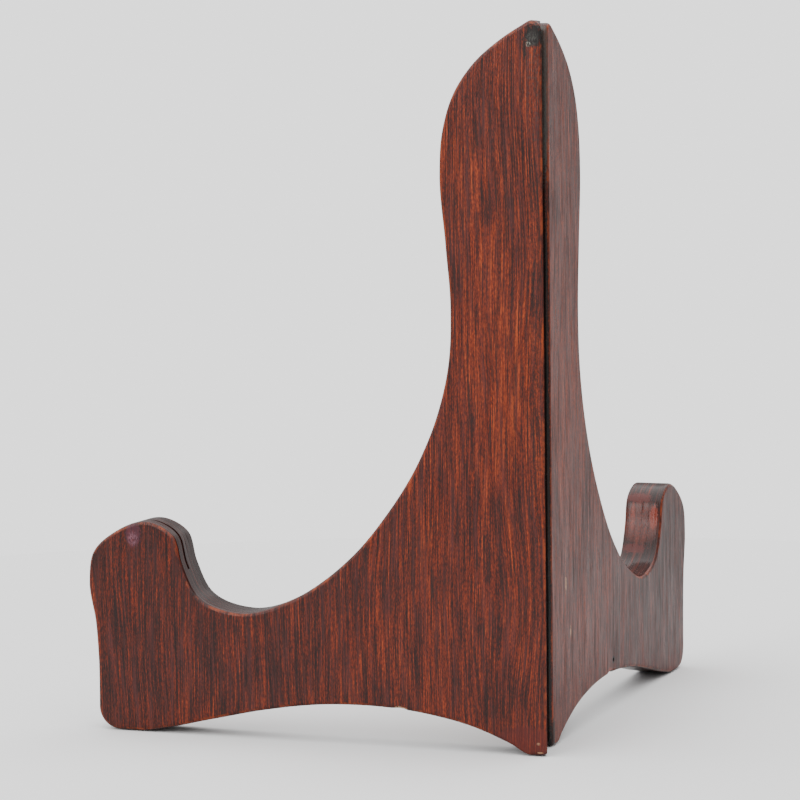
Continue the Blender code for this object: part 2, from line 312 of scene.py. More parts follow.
def wear_down(bm, seed, chips):
    """Wears the edges and glue lines down unevenly and knocks the chips out; flat faces stay flat."""
    offset = Vector((seed, 0.0, 0.0))
    moves = []
    for vert in bm.verts:
        point = vert.co.copy()
        inward = -vert.normal
        on_edge = 1.0 - abs(vert.normal.y)
        wobble = 0.5 + 0.5 * noise.noise(point / EDGE_WEAR_LUMPS + offset)
        depth = EDGE_WEAR * wobble * on_edge
        nearest = min(GLUE_LINES, key=lambda line: abs(line - point.y))
        if abs(nearest - point.y) < ON_GLUE_LINE:
            place = Vector((point.x / GLUE_GAP_LUMPS, nearest, point.z / GLUE_GAP_LUMPS))
            depth += GLUE_GAP_WEAR * max(0.0, noise.noise(place + offset)) * on_edge
        depth += sum(dent(point, chip) for chip in chips)
        if min(point.y, BOARD_THICKNESS - point.y) < ON_FACE:
            inward.y = 0.0
        moves.append((vert, inward * depth))
    for vert, move in moves:
        vert.co += move


def board_mesh(side, seed, chips, crack, hole):
    """The finished board in its own millimetres: drilled, planed or sanded, cracked and worn."""
    piece = board_blank()
    if hole:
        drill(piece, hole)
    bm = bmesh.new()
    bm.from_mesh(piece.data)
    bpy.data.objects.remove(piece)
    if side == LEFT:
        slice_off(bm, (0.0, 0.0, 0.0), (-BOARD_THICKNESS, LEFT_BACK_BEVEL, 0.0))
    else:
        slice_off(bm, RIGHT_TOP_SANDED_FROM, (0.0, RIGHT_TOP_SLOPE, 1.0))
    cut_glue_lines(bm, crack)
    if crack:
        open_ply(bm, crack)
        bm.normal_update()
    wear_down(bm, seed, chips)
    mesh = bpy.data.meshes.new("board")
    bm.to_mesh(mesh)
    bm.free()
    return mesh


# ---------------------------------------------------------------- material building

def add_node(tree, kind, inputs=None, **settings):
    """A shader node with its settings, and its inputs as values or as sockets to link from."""
    node = tree.nodes.new(kind)
    for key, value in settings.items():
        setattr(node, key, value)
    for key, value in (inputs or {}).items():
        if isinstance(value, bpy.types.NodeSocket):
            tree.links.new(value, node.inputs[key])
        else:
            node.inputs[key].default_value = value
    return node


def maths(tree, operation, first, second=0.0):
    return add_node(tree, "ShaderNodeMath", {0: first, 1: second}, operation=operation).outputs[0]


def ramp(tree, value, low, high, start=0.0, end=1.0):
    """Turns value from low to high smoothly into start to end, and holds it outside."""
    inputs = {"Value": value, "From Min": low, "From Max": high, "To Min": start, "To Max": end}
    node = add_node(tree, "ShaderNodeMapRange", inputs, interpolation_type="SMOOTHSTEP")
    return node.outputs["Result"]


def blend_colour(tree, amount, first, second):
    node = add_node(tree, "ShaderNodeMix", data_type="RGBA", clamp_factor=True)
    for socket, value in ((node.inputs[0], amount), (node.inputs[6], first), (node.inputs[7], second)):
        if isinstance(value, bpy.types.NodeSocket):
            tree.links.new(value, socket)
        elif isinstance(value, tuple):
            socket.default_value = (*value, 1.0)
        else:
            socket.default_value = value
    return node.outputs[2]


def stretched_noise(tree, place, size, detail, roughness, shift=(0.0, 0.0, 0.0)):
    """Noise whose lumps are size = (along, depth, height) in the units of place."""
    scale = tuple(1.0 / s for s in size)
    spread = add_node(
        tree, "ShaderNodeMapping", {"Vector": place, "Scale": scale, "Location": shift}
    ).outputs[0]
    inputs = {"Vector": spread, "Scale": 1.0, "Detail": detail, "Roughness": roughness}
    return add_node(tree, "ShaderNodeTexNoise", inputs).outputs["Fac"]


def named_ramp(tree, value, word):
    return ramp(tree, value, *RAMPS[word])


def round_patch(tree, place, centre, radii, ragged, fray):
    """1 inside an oval patch round centre, and 0 outside, with a ragged border."""
    moved = add_node(
        tree, "ShaderNodeVectorMath", {0: place, 1: centre}, operation="SUBTRACT"
    ).outputs[0]
    scaled = add_node(
        tree, "ShaderNodeVectorMath", {0: moved, 1: tuple(1.0 / r for r in radii)}, operation="MULTIPLY"
    ).outputs[0]
    away = add_node(tree, "ShaderNodeVectorMath", {0: scaled}, operation="LENGTH").outputs["Value"]
    torn = maths(tree, "MULTIPLY_ADD", ragged, fray)
    torn.node.inputs[2].default_value = -0.5 * fray
    return ramp(tree, maths(tree, "ADD", away, torn), 1.15, 0.85)


def new_material(name):
    material = bpy.data.materials.new(name)
    material.use_nodes = True
    tree = material.node_tree
    return material, tree, tree.nodes["Principled BSDF"]


# ---------------------------------------------------------------- finishes

# The stain on the faces and on the edges, from its darkest streaks to its brightest, by tone
STAIN_TONES = (
    (0.00, (0.018, 0.0060, 0.0050)),
    (0.28, (0.062, 0.0110, 0.0068)),
    (0.55, (0.150, 0.0195, 0.0072)),
    (0.80, (0.260, 0.0360, 0.0090)),
    (1.00, (0.400, 0.0660, 0.0140)),
)
EDGE_TONES = (
    (0.00, (0.010, 0.0050, 0.0045)),
    (0.45, (0.030, 0.0090, 0.0075)),
    (0.75, (0.075, 0.0165, 0.0110)),
    (1.00, (0.200, 0.0340, 0.0160)),
)
STAIN_PLUM = (0.085, 0.022, 0.020)
PORE_BROWN = (0.017, 0.0090, 0.0075)
# Painted shade: near black inside the crack in the left hook and inside the nail hole
RECESS_SHADE_BLACK = (0.004, 0.003, 0.003)
# Orange of varnish rubbed thin on the arrises, also used as a painted highlight along them
WORN_ORANGE_AND_HIGHLIGHT = (0.34, 0.060, 0.014)
BARE_WOOD = (0.62, 0.36, 0.20)
# Black for the real stains at the top, and for painted shade on the back edges and at the right heel
BLACK_STAIN_AND_PAINTED_SHADE = (0.010, 0.010, 0.009)
# Grey for the bloom in the top stain, and for painted light at the top of the back edges
GREY_BLOOM_AND_PAINTED_LIGHT = (0.090, 0.090, 0.080)
SCUFF_PLUM = (0.085, 0.024, 0.040)
SCUFF_MAUVE = (0.34, 0.16, 0.20)
# Worn red for the wear under the nail hole, and for the painted reflection inside the right hook
WORN_RED_AND_REFLECTION = (0.30, 0.045, 0.022)
PALE_SPECK = (0.33, 0.34, 0.28)
# Deep red for the darker left heel, and for painted darker bands round the reflection inside the right
# hook
DEEP_RED_AND_DARK_REFLECTION = (0.10, 0.016, 0.013)
VARNISH_RELIEF = 0.09 * MM
BRASS_BRIGHT = (0.66, 0.46, 0.19)
BRASS_BROWN = (0.33, 0.20, 0.085)
BRASS_SCRATCH = (0.80, 0.62, 0.32)
BRASS_RELIEF = 0.04 * MM
STEEL_DULL = (0.42, 0.41, 0.39)
STEEL_BRIGHT = (0.63, 0.62, 0.60)


def tone_colour(tree, tone, stops):
    """The colour at a tone between 0 and 1, read from (tone, colour) stops."""
    node = add_node(tree, "ShaderNodeValToRGB", {0: tone})
    elements = node.color_ramp.elements
    while len(elements) < len(stops):
        elements.new(0.5)
    for element, (place, colour) in zip(elements, stops):
        element.position = place
        element.color = (*colour, 1.0)
    return node.outputs["Color"]


def add_up(tree, start, *terms):
    """start plus each (value, weight, middle) as (value - middle) * weight."""
    total = start
    for value, weight, middle in terms:
        part = maths(tree, "MULTIPLY", maths(tree, "SUBTRACT", value, middle), weight)
        total = maths(tree, "ADD", part, total)
    return total


def board_place(tree, side):
    """Where a point lies on its board, as along, depth and height in millimetres."""
    coordinates = add_node(tree, "ShaderNodeTexCoord").outputs["Object"]
    shift = board_to_stand(side).inverted().to_translation()
    turn = Matrix.Rotation(-side * side_angle(side), 4, "Z").to_euler()
    inputs = {
        "Vector": coordinates,
        "Location": tuple(shift),
        "Rotation": tuple(turn),
        "Scale": (1 / MM, side / MM, 1 / MM),
    }
    return add_node(tree, "ShaderNodeMapping", inputs).outputs[0]


def layer(size, detail, roughness, start):
    """A layer of noise: its lumps in millimetres, how rough it is and where in the noise it starts."""
    return {"size": size, "detail": detail, "roughness": roughness, "start": start}


# What the finish of a board is built from; lumps are (along, depth, height).
LAYERS = {
    "wander": layer((30.0, 40.0, 80.0), 1.0, 0.5, (0.0, 0.0)),
    "clouds": layer((11.0, 10.0, 26.0), 2.0, 0.6, (1.3, 0.0)),
    "bands": layer((2.2, 5.0, 60.0), 2.0, 0.6, (7.3, 3.0)),
    "streaks": layer((0.50, 3.0, 28.0), 2.0, 0.6, (5.3, 2.0)),
    "threads": layer((0.24, 2.0, 14.0), 1.5, 0.6, (2.3, 9.0)),
    "fibres": layer((0.26, 1.0, 0.9), 1.0, 0.5, (9.3, 4.0)),
    "plum": layer((1.1, 3.0, 20.0), 2.0, 0.6, (4.3, 5.0)),
    "fine pores": layer((0.24, 2.0, 8.0), 1.5, 0.55, (3.3, 1.0)),
    "broad pores": layer((0.36, 2.0, 18.0), 2.0, 0.55, (8.3, 4.0)),
    "end grain": layer((1.8, 0.4, 1.8), 3.0, 0.65, (0.3, 7.0)),
    "ply streaks": layer((24.0, 0.75, 24.0), 3.0, 0.6, (2.3, 7.0)),
    "broken glue": layer((9.0, 2.0, 9.0), 2.0, 0.6, (6.3, 1.0)),
    "rubbing_and_highlight": layer((3.0, 3.0, 5.0), 3.0, 0.65, (9.3, 3.0)),
    "speckle": layer((0.45, 0.45, 0.8), 3.0, 0.7, (4.3, 6.0)),
    "brushing": layer((3.0, 3.0, 26.0), 3.0, 0.6, (6.3, 8.0)),
}

# How noises and distances turn into parts of a finish: (from, to, amount at from, amount at to)
RAMPS = {
    "plum": (0.48, 0.70, 0.0, 0.6),
    "fine pores": (0.55, 0.66, 0.0, 1.0),
    "broad pores": (0.58, 0.68, 0.0, 1.0),
    "glue line": (0.22, 0.06, 0.0, 1.0),
    "broken glue": (0.42, 0.65, 0.1, 0.8),
    "edge": (0.17, 0.54, 0.0, 1.0),
    "outer ply": (2.2, 0.6, 0.0, 0.2),
    "past the face": (0.01, 0.12, 0.0, 1.0),
    "short of the edge": (0.66, 0.30, 0.0, 1.0),
    "rubbed_and_highlit": (0.44, 0.66, 0.0, 0.65),
    "face roughness": (0.3, 0.7, 0.27, 0.40),
    "edge roughness": (0.35, 0.70, 0.16, 0.30),
    "brass tarnish": (0.40, 0.68, 0.0, 1.0),
    "brass scratches": (0.62, 0.72, 0.0, 0.35),
    "brass roughness": (0.35, 0.7, 0.24, 0.48),
    "steel rings": (0.35, 0.7, 0.0, 1.0),
    "steel roughness": (0.35, 0.7, 0.22, 0.38),
}
SPECKS = (0.44, 0.58)
PORE_STAIN = 0.85
FINE_PORE_DEPTH = 0.75
PORE_ROUGHNESS = 0.20
EDGE_TONE = 0.42
GRAIN_WANDER = 7.0
MIDDLE = 0.5
VARNISH = {"Specular IOR Level": 0.32, "Coat Weight": 0.06, "Coat Roughness": 0.12}
TONE_WEIGHTS = {"clouds": 0.5, "bands": 0.4, "streaks": 1.0, "threads": 1.7, "fibres": 1.1}

# Where on a board the stain lies lighter or darker: (direction, from, to, tone added at each)
TONES_BY_PLACE = (
    ("along", 5.0, 125.0, 0.07, -0.10),
    ("height", 40.0, 95.0, -0.12, 0.0),
    ("height", 0.0, 14.0, 0.12, 0.0),
    ("height", 125.0, 170.0, 0.0, -0.06),
)


def layer_noise(tree, place, word, seed):
    lumps = LAYERS[word]
    shift = (seed, *lumps["start"])
    return stretched_noise(tree, place, lumps["size"], lumps["detail"], lumps["roughness"], shift)


def grain_coordinates(tree, board, along, depth, height, seed):
    """The board's own coordinates, bent so that the grain wanders a little from upright."""
    wander = layer_noise(tree, board, "wander", seed)
    wandered = maths(tree, "MULTIPLY_ADD", wander, GRAIN_WANDER)
    tree.links.new(along, wandered.node.inputs[2])
    return add_node(tree, "ShaderNodeCombineXYZ", {0: wandered, 1: depth, 2: height}).outputs[0]


def stained_veneer(tree, grain, along, height, seed, depth_of_stain, pores):
    """Stain from dark to bright by its tone, warmer towards the spine, plum in places, and pores."""
    directions = {"along": along, "height": height}
    by_place = 0.0
    for word, low, high, start, end in TONES_BY_PLACE:
        by_place = maths(tree, "ADD", by_place, ramp(tree, directions[word], low, high, start, end))
    terms = []
    for word, weight in TONE_WEIGHTS.items():
        terms.append((layer_noise(tree, grain, word, seed), weight, MIDDLE))
    tone = add_up(tree, maths(tree, "ADD", by_place, depth_of_stain), *terms)
    stain = tone_colour(tree, tone, STAIN_TONES)
    plum = layer_noise(tree, grain, "plum", seed)
    stain = blend_colour(tree, named_ramp(tree, plum, "plum"), stain, STAIN_PLUM)
    return blend_colour(tree, maths(tree, "MULTIPLY", pores, PORE_STAIN), stain, PORE_BROWN)


def open_pores(tree, grain, seed):
    """Long thin dark dashes, fine ones everywhere and broader ones in clusters."""
    fine = layer_noise(tree, grain, "fine pores", seed)
    broad = layer_noise(tree, grain, "broad pores", seed)
    fine = maths(tree, "MULTIPLY", named_ramp(tree, fine, "fine pores"), FINE_PORE_DEPTH)
    return maths(tree, "MAXIMUM", fine, named_ramp(tree, broad, "broad pores"))


def glue_line_mask(tree, board, depth, ply_streaks, seed):
    """1 on the glue lines between the plies, which waver and break up."""
    waver = add_up(tree, depth, (ply_streaks, 0.5, MIDDLE))
    glue = 0.0
    for line in GLUE_LINES:
        away = maths(tree, "ABSOLUTE", maths(tree, "SUBTRACT", waver, line))
        glue = maths(tree, "MAXIMUM", glue, named_ramp(tree, away, "glue line"))
    broken = layer_noise(tree, board, "broken glue", seed)
    return maths(tree, "MULTIPLY", glue, named_ramp(tree, broken, "broken glue"))


def marked(tree, board, colour, marks, seed):
    """The colour with the board's stains, scuffs and chips on it, and its patches of painted shade, light
    and reflection.
    """
    speckle = layer_noise(tree, board, "speckle", seed)
    for spot in marks:
        mask = round_patch(tree, board, spot["at"], spot["radii"], speckle, spot["fray"])
        least = spot["strength"] * (1 - spot["grit"])
        strength = ramp(tree, speckle, *SPECKS, least, spot["strength"])
        mask = maths(tree, "MULTIPLY", mask, strength)
        colour = blend_colour(tree, mask, colour, spot["colour"])
    return colour


def varnished_plywood(name, side, seed, depth_of_stain, marks):
    """Red-brown stain and varnish over open-pored veneer, with the plies showing on the edges."""
    material, tree, shader = new_material(name)
    board = board_place(tree, side)
    along, depth, height = add_node(tree, "ShaderNodeSeparateXYZ", {0: board}).outputs
    grain = grain_coordinates(tree, board, along, depth, height, seed)
    pores = open_pores(tree, grain, seed)
    veneer = stained_veneer(tree, grain, along, height, seed, depth_of_stain, pores)

    # Edges: dark varnish with faint streaks along the plies.
    from_face = maths(tree, "MINIMUM", depth, maths(tree, "SUBTRACT", BOARD_THICKNESS, depth))
    edge = named_ramp(tree, from_face, "edge")
    end_grain = layer_noise(tree, board, "end grain", seed)
    ply_streaks = layer_noise(tree, board, "ply streaks", seed)
    edge_tone = add_up(tree, EDGE_TONE, (end_grain, 0.5, MIDDLE), (ply_streaks, 2.2, MIDDLE))
    edge_tone = maths(tree, "ADD", edge_tone, named_ramp(tree, depth, "outer ply"))
    glue = glue_line_mask(tree, board, depth, ply_streaks, seed)
    plies = blend_colour(tree, glue, tone_colour(tree, edge_tone, EDGE_TONES), PORE_BROWN)
    colour = blend_colour(tree, edge, veneer, plies)

    # Along short stretches of the arrises the varnish is rubbed thin and orange, and this orange is also
    # a painted highlight.
    past_face = named_ramp(tree, from_face, "past the face")
    short_of_edge = named_ramp(tree, from_face, "short of the edge")
    arris = maths(tree, "MULTIPLY", past_face, short_of_edge)
    rubbed_and_highlit = named_ramp(tree, layer_noise(tree, board, "rubbing_and_highlight", seed), "rubbed_and_highlit")
    colour = blend_colour(tree, maths(tree, "MULTIPLY", arris, rubbed_and_highlit), colour, WORN_ORANGE_AND_HIGHLIGHT)
    tree.links.new(marked(tree, board, colour, marks, seed), shader.inputs["Base Color"])

    # Sheen: brushed varnish that has sunk into the pores of the faces and lies smooth on the edges.
    brushed = layer_noise(tree, grain, "brushing", seed)
    face_roughness = maths(tree, "MULTIPLY_ADD", pores, PORE_ROUGHNESS)
    tree.links.new(named_ramp(tree, brushed, "face roughness"), face_roughness.node.inputs[2])
    edge_roughness = named_ramp(tree, end_grain, "edge roughness")
    inputs = {"Factor": edge, "A": face_roughness, "B": edge_roughness}
    roughness = add_node(tree, "ShaderNodeMix", inputs, data_type="FLOAT").outputs[0]
    tree.links.new(roughness, shader.inputs["Roughness"])
    for key, value in VARNISH.items():
        shader.inputs[key].default_value = value

    # Relief: pores and streaks on the faces, plies and glue lines on the edges.
    streaks = layer_noise(tree, grain, "streaks", seed)
    face_relief = add_up(tree, 0.0, (pores, -1.0, 0.0), (streaks, 0.5, 0.0))
    face_relief = maths(tree, "MULTIPLY", face_relief, maths(tree, "SUBTRACT", 1.0, edge))
    edge_relief = add_up(tree, 0.0, (end_grain, 0.5, 0.0), (ply_streaks, 1.0, 0.0), (glue, -0.8, 0.0))
    relief = maths(tree, "ADD", face_relief, maths(tree, "MULTIPLY", edge_relief, edge))
    inputs = {"Height": relief, "Strength": 0.55, "Distance": VARNISH_RELIEF}
    bump = add_node(tree, "ShaderNodeBump", inputs).outputs[0]
    tree.links.new(bump, shader.inputs["Normal"])
    return material


def side_normal(side):
    """The direction in which a board's inner face looks."""
    angle = side_angle(side) + side * math.pi / 2
    return (math.cos(angle), math.sin(angle), 0.0)


def tarnished_brass():
    """Dull brass plate: brown tarnish in clouds, with fine scratches along the leaf."""
    material, tree, shader = new_material("tarnished brass")
    place = add_node(tree, "ShaderNodeTexCoord").outputs["Object"]
    clouds = stretched_noise(tree, place, (4 * MM, 4 * MM, 5 * MM), 4.0, 0.65)
    scratches = stretched_noise(tree, place, (0.4 * MM, 0.4 * MM, 9 * MM), 2.0, 0.6)
    colour = blend_colour(tree, named_ramp(tree, clouds, "brass tarnish"), BRASS_BRIGHT, BRASS_BROWN)
    colour = blend_colour(tree, named_ramp(tree, scratches, "brass scratches"), colour, BRASS_SCRATCH)
    tree.links.new(colour, shader.inputs["Base Color"])
    shader.inputs["Metallic"].default_value = 1.0
    tree.links.new(named_ramp(tree, clouds, "brass roughness"), shader.inputs["Roughness"])
    inputs = {"Height": scratches, "Strength": 0.25, "Distance": BRASS_RELIEF}
    bump = add_node(tree, "ShaderNodeBump", inputs).outputs[0]
    tree.links.new(bump, shader.inputs["Normal"])
    return material


def drawn_steel():
    """Bright steel wire with faint rings from drawing and handling."""
    material, tree, shader = new_material("drawn steel")
    place = add_node(tree, "ShaderNodeTexCoord").outputs["Object"]
    rings = stretched_noise(tree, place, (2 * MM, 2 * MM, 0.2 * MM), 2.0, 0.6)
    colour = blend_colour(tree, named_ramp(tree, rings, "steel rings"), STEEL_DULL, STEEL_BRIGHT)
    tree.links.new(colour, shader.inputs["Base Color"])
    shader.inputs["Metallic"].default_value = 1.0
    tree.links.new(named_ramp(tree, rings, "steel roughness"), shader.inputs["Roughness"])
    return material


# ---------------------------------------------------------------- boards

# Places on the boards are (along, depth, height) in millimetres.
LEFT_CHIPS = [
    {"at": (2.0, 0.3, 0.8), "size": 1.3, "depth": 0.4},
    {"at": (43.0, 0.3, 10.6), "size": 2.2, "depth": 0.6},
    {"at": (1.5, 0.8, 198.6), "size": 2.4, "depth": 0.5},
]
RIGHT_CHIPS = [
    {"at": (56.0, 0.5, 11.2), "size": 2.6, "depth": 0.7},
    {"at": (8.0, 0.4, 1.9), "size": 2.0, "depth": 0.4},
]
LEFT_CRACK = {
    "glue_line": GLUE_LINES[1], "along_from": 108.5, "along_to": 122.0, "height_from": 47.5,
    "taper": 9.0, "depth": 1.3,
}
RIGHT_NAIL_HOLE = {"at": (58.0, 0.0, 14.9), "radius": 0.8, "end_radius": 0.4, "deep": 3.0}


def mark(at, radii, fray, strength, colour, grit=0.0):
    """A stain, scuff or chip on a board, or a patch of painted shade, light or reflection; grit breaks it
    into specks.
    """
    return {"at": at, "radii": radii, "fray": fray, "strength": strength, "colour": colour, "grit": grit}


LEFT_MARKS = [
    # Painted shade on the bevelled back edge, which faces the right board across the gap, and painted
    # light at its top
    mark((2.5, 7.0, 100.0), (3.6, 7.0, 120.0), 1.6, 0.55, BLACK_STAIN_AND_PAINTED_SHADE),
    mark((2.5, 7.0, 188.0), (4.0, 6.6, 26.0), 2.6, 0.45, GREY_BLOOM_AND_PAINTED_LIGHT, 0.6),
    # The black stain at the top, its bloom, its run and a pale speck in it
    mark((2.5, 0.0, 195.7), (2.8, 3.0, 3.0), 2.0, 0.95, BLACK_STAIN_AND_PAINTED_SHADE),
    mark((2.9, 0.0, 194.8), (1.9, 2.0, 2.2), 2.4, 0.50, GREY_BLOOM_AND_PAINTED_LIGHT, 1.0),
    mark((5.0, 0.0, 192.0), (0.5, 1.0, 2.8), 1.6, 0.80, BLACK_STAIN_AND_PAINTED_SHADE),
    mark((3.9, 0.0, 193.4), (0.8, 1.0, 0.8), 2.4, 0.70, PALE_SPECK, 1.0),
    # The heel, darker, and the scuff near the top of the hook
    mark((6.0, 0.0, 3.0), (10.0, 1.0, 5.0), 1.2, 0.65, DEEP_RED_AND_DARK_REFLECTION),
    mark((124.0, 0.0, 57.2), (2.3, 1.0, 3.4), 1.6, 0.65, SCUFF_PLUM),
    mark((124.2, 0.0, 56.0), (1.9, 1.0, 2.3), 2.6, 0.42, SCUFF_MAUVE, 1.0),
    # Chips at the heel and in the arch, and the open ply in the hook, painted black as the shade in the
    # crack
    mark((2.2, 0.2, 0.9), (0.9, 0.7, 0.25), 1.2, 0.60, BARE_WOOD),
    mark((2.6, 0.0, 3.4), (0.5, 0.3, 0.4), 1.6, 0.40, BARE_WOOD, 0.6),
    mark((43.0, 0.3, 10.6), (2.1, 1.2, 0.9), 1.6, 0.9, BARE_WOOD),
    mark((115.0, GLUE_LINES[1], 56.0), (10.5, 0.30, 10.5), 0.1, 1.0, RECESS_SHADE_BLACK),
]
RIGHT_MARKS = [
    # The back edge, black below as painted shade in the gap and grey above as painted light from the top,
    # and painted shade at the heel
    mark((0.0, 4.0, 70.0), (0.9, 5.0, 105.0), 1.2, 0.90, BLACK_STAIN_AND_PAINTED_SHADE),
    mark((0.0, 2.0, 184.0), (1.1, 4.0, 26.0), 1.4, 0.75, GREY_BLOOM_AND_PAINTED_LIGHT, 0.3),
    mark((1.2, 0.0, 3.4), (1.4, 3.0, 4.2), 2.2, 0.85, BLACK_STAIN_AND_PAINTED_SHADE),
    # The nail hole, painted black inside as shade, and the worn spot under it
    mark((58.0, 0.0, 14.9), (1.3, 4.0, 1.2), 1.2, 0.9, RECESS_SHADE_BLACK),
    mark((54.5, 0.2, 11.8), (2.6, 1.0, 1.2), 1.8, 0.8, WORN_RED_AND_REFLECTION),
    # Inside the hook: a dark streak, and a painted reflection, a lighter red band between two painted
    # darker bands
    mark((111.2, 0.4, 40.0), (1.0, 1.6, 7.5), 1.8, 0.75, PORE_BROWN),
    mark((109.5, 6.5, 49.5), (5.0, 6.5, 7.5), 1.8, 0.35, WORN_RED_AND_REFLECTION, 0.7),
    mark((109.5, 2.4, 51.5), (4.5, 1.3, 3.8), 1.8, 0.75, WORN_RED_AND_REFLECTION, 0.3),
    mark((109.5, 9.3, 51.5), (4.5, 0.8, 4.4), 1.8, 0.60, WORN_RED_AND_REFLECTION, 0.6),
    mark((109.5, 8.0, 57.2), (6.0, 4.5, 1.6), 1.6, 0.80, DEEP_RED_AND_DARK_REFLECTION),
    mark((108.0, 8.0, 41.6), (4.0, 4.5, 1.7), 1.8, 0.80, DEEP_RED_AND_DARK_REFLECTION),
    # Two small scratches near the spine
    mark((13.0, 0.0, 44.0), (0.5, 0.4, 2.0), 3.0, 0.7, BARE_WOOD),
    mark((17.0, 0.0, 30.0), (0.5, 0.4, 1.2), 3.0, 0.7, BARE_WOOD),
]
BOARD_WEAR_AND_PAINTED_LIGHT = {
    "left": {
        "seed": 3.0, "stain": 0.485, "chips": LEFT_CHIPS, "crack": LEFT_CRACK, "hole": None,
        "marks": LEFT_MARKS,
    },
    "right": {
        "seed": 41.0, "stain": 0.53, "chips": RIGHT_CHIPS, "crack": None, "hole": RIGHT_NAIL_HOLE,
        "marks": RIGHT_MARKS,
    },
}


def make_board(word):
    side, wear = SIDES[word], BOARD_WEAR_AND_PAINTED_LIGHT[word]
    mesh = board_mesh(side, wear["seed"], wear["chips"], wear["crack"], wear["hole"])
    mesh.transform(board_to_stand(side))
    if side == LEFT:
        mesh.flip_normals()
    finish = varnished_plywood(
        f"varnished plywood {word}", side, wear["seed"], wear["stain"], wear["marks"]
    )
    mesh.materials.append(finish)
    board = link_piece(f"{word}_plywood_board", mesh)
    smooth_round_flats(board)
    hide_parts(f"{word}_board")
    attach(board, f"{word}_side")


# ---------------------------------------------------------------- hinges

# The screws: how deep the leaves' faces lie from a board's outer face, how far the screws stand
# from the pins' axis, and their heights, all in millimetres. A screw's point is this share of its
# radius thick, and its recess is turned by up to this many radians.
LEAF_FACE_DEPTH = 13.2
SCREW_FROM_PIN = 6.1
SCREW_HEIGHTS = (32.5, 50.5, 140.0, 158.0)
SCREW_SEED = 5
SCREW_SHARP_FROM_DEGREES = 40
SCREW_SIDES = 24
SCREW_RINGS = 72
SCREW_POINT = 0.04
RECESS_TURN = 0.6
SCREW_SIZES = {
    "Head Radius": 2.0 * MM,
    "Head Depth": 0.9 * MM,
    "Shank Radius": 1.1 * MM,
    "Length": 9.0 * MM,
    "Tip": 2.5 * MM,
    "Thread Pitch": 0.9 * MM,
    "Thread Depth": 0.22 * MM,
    "Recess Arm": 1.2 * MM,
    "Recess Width": 0.5 * MM,
    "Recess Depth": 0.5 * MM,
}


